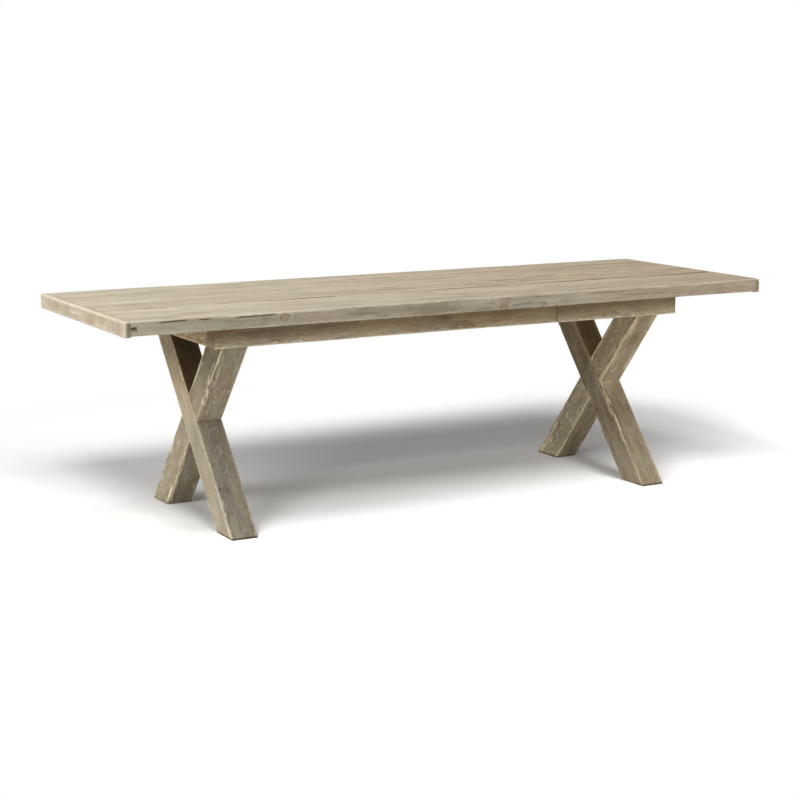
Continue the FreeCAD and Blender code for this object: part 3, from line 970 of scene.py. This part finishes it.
# Y and Z of knots below the left batten's face, which only bend its rings
BATTEN_KNOTS = ((-0.176, 0.733), (0.290, 0.735))
BATTEN_KNOT_SIZE = 0.017
TONGUE_FINISH = Finish(0.8, 0.2, wear=0.001)
for side, way in (("left", -1), ("right", 1)):
    node = f"end_batten_{side}"
    low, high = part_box(node)
    outer = low[0] if way < 0 else high[0]
    xs = sorted((outer, outer - way * BATTEN_WIDTH))
    inner_side = "v+" if way < 0 else "v-"
    timber = straight(node, ALONG_Y, "batten", way, [inner_side], (xs[0], *low[1:]), (xs[1], *high[1:]))
    pith = (way * BATTEN_PITH[0], way * BATTEN_PITH[1])
    if side == "left":
        for y, z in BATTEN_KNOTS:
            knot = knot_on(timber, pith, (outer, y, z), BATTEN_KNOT_SIZE, strength=0.0, bending=1.0)
            top_knots.append(knot)
    finish = Finish(1.07, 0.03, wear=0.006, sides={"end-": BATTEN_ENDS[side]}, weather=(0.8, 0.2, 0.5),
                    figure=(0.25, 0.5, 0.0), seams={inner_side: 0.4}, dirty_ends=False)
    batten = add_timber(timber, node, "top_wood", pith, finish)
    root = outer - way * (BATTEN_WIDTH - TONGUE_ROOT)
    tongue_xs = sorted((root, outer - way * (BATTEN_WIDTH + TONGUE_LENGTH)))
    tongue_start = low[1] + (TONGUE_SETBACK if way < 0 else RIGHT_GROOVE_STOP + TONGUE_SETBACK)
    tongue = Timber("tongue", (tongue_xs[0], tongue_start, GROOVE_LOW + TONGUE_PLAY_BELOW),
                    (tongue_xs[1], high[1] - TONGUE_SETBACK, GROOVE_HIGH - TONGUE_PLAY_ABOVE),
                    ALONG_Y, "tongue", way, SIDE_NAMES)
    tongue_piece = tongue.piece()
    mark_surface(tongue_piece, tongue, pith, TONGUE_OFFSET, TONGUE_FINISH)
    joined = {"active_object": batten, "object": batten, "selected_objects": [batten, tongue_piece],
              "selected_editable_objects": [batten, tongue_piece]}
    with bpy.context.temp_override(**joined):
        bpy.ops.object.join()

# Apron frame, with painted shade in its upper half: darker and browner there, below the top
APRON_FIGURE = (0.7, 0.0, 0.0)
APRON_WEATHER = (0.6, 1.2, 1.0)
APRON_PITHS = (-0.06, -0.02)
END_RAIL_PITHS = (0.02, 0.05)
CROSS_BATTEN_PITHS = (-0.05, 0.05)
CROSS_BATTEN_WARMTHS = (0.2, 0.5)
RAIL_UPPER_SHADE = (0.68, 0.40)
# Light, warmth and upper shade of the bearers, and stops of painted light along their ends and front faces
# The bearers' light above 1 is painted light, which lifts them in the shade of the top
BEARER_PAINTED_LIGHT_AND_SHADE = {"left": (1.29, 0.11, (0.61, 0.50)), "right": (1.25, 0.22, (0.73, 0.40))}
BEARER_END_PAINTED_LIGHT = ((0.0, 1.3, 0.10),)
BEARER_FACE_PAINTED_LIGHT = {"left": ((-0.28, 1.35, 0.0), (-0.17, 1.0, 0.0)),
                "right": ((0.08, 1.0, 0.0), (0.28, 1.22, 0.0))}
for side in ("front", "back"):
    for end, (light, warm, upper) in BEARER_PAINTED_LIGHT_AND_SHADE.items():
        node = f"bearer_{side}_{end}"
        timber = straight(node, ALONG_X, "bearer", len(made_pieces), ["v+"])
        tones = {"end-": BEARER_END_PAINTED_LIGHT, "u-": BEARER_FACE_PAINTED_LIGHT[end]}
        finish = Finish(light, warm, wear=0.013, upper=upper, sides=tones, weather=APRON_WEATHER,
                        figure=APRON_FIGURE, worn_ends=False, dirty_ends=False)
        add_timber(timber, node, "base_wood", random_pith(*APRON_PITHS), finish)
    node = f"centre_rail_{side}"
    low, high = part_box(node)
    timber = straight(node, ALONG_X, "centre_rail", len(made_pieces), ["v+"] + BOTH_ENDS,
                      (low[0] + TENON_LENGTH, *low[1:]), (high[0] - TENON_LENGTH, *high[1:]))
    # Painted light: a light above 1 lifts the centre rails in the shade of the top, and their upper tones
    # paint shade on their upper half
    finish = Finish(1.34, 0.28, wear=0.008, upper=RAIL_UPPER_SHADE, weather=APRON_WEATHER, figure=APRON_FIGURE,
                    dirty_ends=False)
    add_timber(timber, node, "base_wood", random_pith(*APRON_PITHS), finish)
for side in ("left", "right"):
    node = f"end_rail_{side}"
    timber = straight(node, ALONG_Y, "end_rail", len(made_pieces), ["u+"] + BOTH_ENDS)
    # Painted light: a light of 1.66 lifts the end rails, which lie in the shade of the top
    finish = Finish(1.66, 0.52, wear=0.005, weather=(1.5, 2.0, 1.0), figure=APRON_FIGURE)
    add_timber(timber, node, "base_wood", random_pith(*END_RAIL_PITHS), finish)
for number in (1, 2, 3):
    node = f"cross_batten_{number}"
    timber = straight(node, ALONG_Y, "cross_batten", number, ["u+"] + BOTH_ENDS)
    pith = random_pith(*CROSS_BATTEN_PITHS)
    finish = Finish(0.98, tone_rng.uniform(*CROSS_BATTEN_WARMTHS), wear=0.005, knotty=1.0)
    add_timber(timber, node, "base_wood", pith, finish)

# Crossed legs, half lapped, their tops notched inside the bearers
# Stops along a leg are measured from the crossing
# The seam dirt along each foot's lower end is painted contact shade where the leg meets the floor
FOOT_CONTACT_SHADE = {"end-": 1.8}
# The legs' side stops are painted light and shade: lights above 1 lift faces that the lamps leave in shade,
# and the front legs' v- faces get darker and browner towards the top, in painted shade below the table top
LEG_FINISHES = {
    "left_front": Finish(
        1.0, 0.0, wear=0.012, ringed=1.0, weather=(0.7, 0.3, 1.6), figure=(0.2, 0.0, 0.0), seams=FOOT_CONTACT_SHADE,
        ring_stops={"u-": ((0.0, 0.25),), "v-": ((-0.36, 0.15), (-0.27, 1.0), (0.0, 1.0), (0.06, 0.2))},
        sides={"u-": ((-0.08, 1.03, 0.0), (0.08, 1.52, 0.27)),
               "v-": ((-0.08, 0.63, 0.0), (0.08, 0.37, 0.76))}),
    "left_back": Finish(
        1.0, 0.12, wear=0.009, ringed=0.3, weather=(1.6, 0.8, 0.4), figure=(0.3, 0.0, 1.0), seams=FOOT_CONTACT_SHADE,
        splinters=((0.13, 0.40, -1), (-0.40, -0.12, -1)),
        sides={"u-": ((-0.08, 0.89, 0.0), (0.08, 1.04, 0.0)),
               "v-": ((-0.08, 1.00, 0.02), (0.08, 1.00, 0.04))}),
    "right_front": Finish(
        1.0, 0.25, wear=0.010, ringed=0.2, weather=(0.8, 1.0, 0.9), figure=(0.45, 0.0, 0.9), seams=FOOT_CONTACT_SHADE,
        splinters=((-0.26, 0.04, -1),),
        sides={"u-": ((-0.08, 1.09, -0.04), (0.08, 1.12, 0.18)),
               "v-": ((-0.10, 1.00, 0.02), (-0.06, 1.22, 0.0), (-0.04, 1.50, -0.1), (0.08, 0.88, 0.55))}),
    "right_back": Finish(
        1.0, 0.28, wear=0.012, ringed=0.2, weather=(2.6, 1.1, 0.9), figure=(0.6, 0.0, 0.6), seams=FOOT_CONTACT_SHADE,
        sides={"u-": ((-0.08, 1.74, -0.11), (0.08, 1.52, 0.08)),
               "v-": ((-0.08, 1.10, 0.0), (0.08, 1.20, 0.10))}),
}
LEG_PITHS = {"left_front": (0.006, 0.048), "left_back": (-0.006, 0.030), "right_front": (0.008, 0.022),
             "right_back": (-0.004, -0.030)}
LEG_SLANTS = {"left_front": 0.275}
# A knot near the front foot at the left, and its size
FOOT_KNOT = (-0.853, -0.238, 0.146)
FOOT_KNOT_SIZE = 0.0078
for leg, finish in LEG_FINISHES.items():
    node = f"leg_{leg}_foot"
    way = 1 if leg.endswith("front") else -1
    pith = LEG_PITHS[leg]
    low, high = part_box(node)
    reach = max(abs(low[1]), abs(high[1]))
    half_slice = reach - FOOT_SPREAD / 2
    cosine = LEG_WIDTH / 2 / half_slice
    tangent = math.sqrt(1 - cosine * cosine) / cosine
    crossing = FOOT_SPREAD / 2 / tangent
    timber = Timber(node + "_wood", (low[0], -half_slice, low[2]), (high[0], half_slice, high[2]), ALONG_Z,
                    "leg", len(made_pieces), BOTH_ENDS, (way, tangent, crossing), LEG_SLANTS.get(leg, 0.0))
    if leg == "left_front":
        base_knots.append(knot_on(timber, pith, FOOT_KNOT, FOOT_KNOT_SIZE, strength=0.7, bending=0.3))
    first_x = low[0] - CUT_MARGIN
    last_x = high[0] + CUT_MARGIN
    middle_x = (low[0] + high[0]) / 2
    lap_xs = (middle_x, last_x) if way > 0 else (first_x, middle_x)
    cutters = [
        prism("lap", (lap_xs[0], -half_slice, CUT_BOTTOM), (lap_xs[1], half_slice, CUT_REACH),
              lambda height: -timber.shift(height)),
        prism("notch_front", (first_x, -CUT_REACH, FRAME_BOTTOM), (last_x, -BEARER_INNER, CUT_REACH)),
        prism("notch_back", (first_x, BEARER_INNER, FRAME_BOTTOM), (last_x, CUT_REACH, CUT_REACH)),
    ]
    add_timber(timber, node, "base_wood", pith, finish, cutters)

# The two woods: their colours, own noises and shares, width and taper of the rings, where late wood starts
# in a ring, width of the worn arrises, and depth of the saw marks and of the whole relief. knot_cells are
# scattered knots per metre and per radian, and the share of them that is missing.
# Their dirt colour also paints shadow lines below upper arrises and contact shade at the legs' feet
top_look = {
    "colours": {
        "pale": (208, 199, 178), "middle": (188, 176, 153), "warm": (190, 170, 145), "grey": (180, 175, 157),
        "late": (168, 151, 127), "dark": (126, 110, 88), "knot": (168, 138, 106), "rim": (128, 96, 68),
        "worn": (216, 206, 184), "split": (226, 215, 190), "end": (132, 122, 105), "dirt": (84, 72, 55),
        "stain": (160, 145, 122), "blush": (238, 212, 190),
    },
    "noises": {"streak": (2.6, 95, 2, 0.6), "dash": (3.4, 120, 1, 0.5), "thread": (6, 330, 2, 0.6)},
    "shares": {"dash": 0.48, "thread": 0.44, "fibre": 0.14, "mottle": 0.15, "arris": 0.95, "seam_highlight": 0.5,
               "stain": 0.5, "cloud": 0.6, "lime": 0.25, "scratch": 0.2, "end": 0.75, "line": 0.85},
    "ring": 0.0065, "taper": 0.010, "late_start": 0.3, "arris": 0.0085, "saw_marks": 0.15, "relief": 0.6,
    "knot_cells": (1.2, 1.2, 0.72), "knots": top_knots,
}
base_look = {
    "colours": {
        "pale": (186, 176, 153), "middle": (166, 154, 131), "warm": (162, 145, 120), "grey": (157, 149, 133),
        "late": (200, 190, 166), "dark": (98, 85, 64), "knot": (140, 120, 98), "rim": (92, 78, 62),
        "worn": (214, 204, 178), "split": (248, 237, 204), "end": (126, 114, 93), "dirt": (62, 52, 38),
        "stain": (126, 113, 88), "blush": (240, 212, 172),
    },
    "noises": {"broad": (5, 20, 3, 0.55), "lime": (30, 95, 3, 0.65)},
    "shares": {"dash": 0.38, "thread": 0.42, "fibre": 0.14, "mottle": 0.30, "arris": 0.9, "seam_highlight": 0.0,
               "stain": 0.6, "cloud": 0.6, "lime": 0.55, "scratch": 0.45, "end": 0.5, "line": 0.6},
    "ring": 0.0058, "taper": -0.060, "late_start": 0.58, "arris": 0.0065, "saw_marks": 0.35, "relief": 0.5,
    "knot_cells": (1.6, 0.45, 0.62), "knots": base_knots,
}
materials = {"top_wood": Wood("limed_pine_top", top_look).build(),
             "base_wood": Wood("limed_pine_base", base_look).build()}
for piece, slot in made_pieces:
    shade(piece, materials[slot])
hardware = {"dowel_wood": dowel_wood(), "zinc_steel": zinc_steel()}
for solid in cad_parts.values():
    for index, material in enumerate(solid.data.materials):
        for slot, better in hardware.items():
            if material.name.startswith(slot):
                solid.data.materials[index] = better


# Stage, light and camera. The floor's grey as it is seen and as it lights the object, and the
# distances from the origin over which it turns white
FLOOR_REACH = 40.0
FLOOR_SEEN = 0.97
FLOOR_BOUNCE = 0.44
FLOOR_FADE = (1.9, 2.6)


def stage_floor():
    """Pale floor, seen through from below, that turns into the white background away from the object."""
    size = FLOOR_REACH
    points = [(-size, -size, 0), (size, -size, 0), (size, size, 0), (-size, size, 0)]
    made = new_piece("floor", points, [[0, 1, 2, 3]])
    s = Sheet("floor_pale")
    s.tree.nodes.remove(s.shader)
    seen = s.seen_rays()
    colour = s.mix(seen, (*[FLOOR_BOUNCE] * 3, 1), (*[FLOOR_SEEN] * 3, 1))
    diffuse = s.node("ShaderNodeBsdfDiffuse", {"Color": colour}).outputs[0]
    white = s.node("ShaderNodeEmission", {"Color": WHITE, "Strength": 1.0}).outputs[0]
    clear = s.node("ShaderNodeBsdfTransparent").outputs[0]
    geometry = s.node("ShaderNodeNewGeometry").outputs
    place = s.split(geometry["Position"])
    away = s.rise(s.length(place[0], place[1]), *FLOOR_FADE)
    above = s.either(s.times(away, seen), diffuse, white)
    both = s.either(geometry["Backfacing"], above, clear)
    s.feed(s.tree.nodes["Material Output"].inputs["Surface"], both)
    made.data.materials.append(s.material)
    made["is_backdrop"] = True
    return made


SUN_DISTANCE = 12.0


def lamp(name, kind, place, energy, receivers, **settings):
    """A lamp that is turned to the origin and shines on the receivers alone."""
    light = bpy.data.lights.new(name, kind)
    light.energy = energy
    for key, value in settings.items():
        setattr(light, key, value)
    made = bpy.data.objects.new(name, light)
    made.location = place
    made.rotation_euler = (-made.location).to_track_quat("-Z", "Y").to_euler()
    made.visible_camera = False
    scene.collection.objects.link(made)
    group = bpy.data.collections.new(name + "_receivers")
    for receiver in receivers:
        group.objects.link(receiver)
    made.light_linking.receiver_collection = group


def soft_sun(name, height, bearing, strength, softness, receivers):
    """Soft distant lamp: its height and the bearing that its light follows from +X to +Y, in degrees."""
    rise = math.radians(height)
    turn = math.radians(bearing)
    level = math.cos(rise)
    place = SUN_DISTANCE * Vector((-math.cos(turn) * level, -math.sin(turn) * level, math.sin(rise)))
    lamp(name, "SUN", place, strength * math.pi, receivers, angle=math.radians(softness))


# The floor's own lamps, which give the soft dark shadow below the table.
# Distant ones: height and bearing in degrees, softness, and share of the floor's light
FLOOR_SUNS = ((45.5, 82.0, 19.3, 0.232), (30.3, 34.1, 23.2, 0.214), (75.9, 212.0, 20.0, 0.193))
# Close ones: place, radius, and the light that they give the floor straight below them
FLOOR_BULBS = (((0.917, -0.070, 1.100), 0.122, 2.62), ((0.940, -0.858, 1.520), 0.155, 0.535),
               ((-1.829, -0.781, 1.995), 0.226, 0.845))
# The object's own lamps: a round softbox, with the light that it gives a surface that faces it, and
# distant ones by height, bearing, strength and softness
BOX_PLACE = (-11.0, -0.4, 8.7)
BOX_STRENGTH = 0.85
BOX_SIZE = 10.0
OBJECT_SUNS = {"front_light": (29, 73, 0.31, 32), "upper_light": (77, 76, 0.31, 50)}
FILL_STRENGTH = 0.06

floor = stage_floor()
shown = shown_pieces()
for number, (height, bearing, softness, share) in enumerate(FLOOR_SUNS, 1):
    strength = share / math.sin(math.radians(height))
    soft_sun(f"floor_sun_{number}", height, bearing, strength, softness, [floor])
for number, (place, radius, strength) in enumerate(FLOOR_BULBS, 1):
    energy = strength * (2 * math.pi * place[2]) ** 2
    lamp(f"floor_bulb_{number}", "POINT", place, energy, [floor], shadow_soft_size=radius)
box_energy = BOX_STRENGTH * (math.pi * Vector(BOX_PLACE).length) ** 2
lamp("left_light", "AREA", BOX_PLACE, box_energy, shown, shape="DISK", size=BOX_SIZE)
for name, settings in OBJECT_SUNS.items():
    soft_sun(name, *settings, shown)

world = bpy.data.worlds.new("studio")
scene.world = world
world.use_nodes = True
w = Nodes(world.node_tree)
fill = world.node_tree.nodes["Background"]
fill.inputs["Color"].default_value = WHITE
fill.inputs["Strength"].default_value = FILL_STRENGTH
backdrop = w.node("ShaderNodeBackground", {"Color": WHITE, "Strength": 1.0})
surround = w.either(w.seen_rays(), fill.outputs[0], backdrop.outputs[0])
w.feed(world.node_tree.nodes["World Output"].inputs["Surface"], surround)

# Camera, with the angle it looks down by and its turn in degrees
CAMERA_PLACE = (-3.1527, -5.6700, 1.5184)
CAMERA_DOWN = 10.30
CAMERA_TURN = -28.67
FOCAL_PIXELS = 1799.0
IMAGE_PIXELS = 800
SENSOR_WIDTH = 36.0
SIGHT_END = 200.0
camera = bpy.data.objects.new("camera", bpy.data.cameras.new("camera"))
scene.collection.objects.link(camera)
camera.location = CAMERA_PLACE
camera.rotation_euler = (math.radians(90 - CAMERA_DOWN), 0, math.radians(CAMERA_TURN))
camera.data.sensor_width = SENSOR_WIDTH
camera.data.lens = SENSOR_WIDTH * FOCAL_PIXELS / IMAGE_PIXELS
camera.data.clip_end = SIGHT_END
scene.camera = camera
scene.view_settings.view_transform = "Standard"
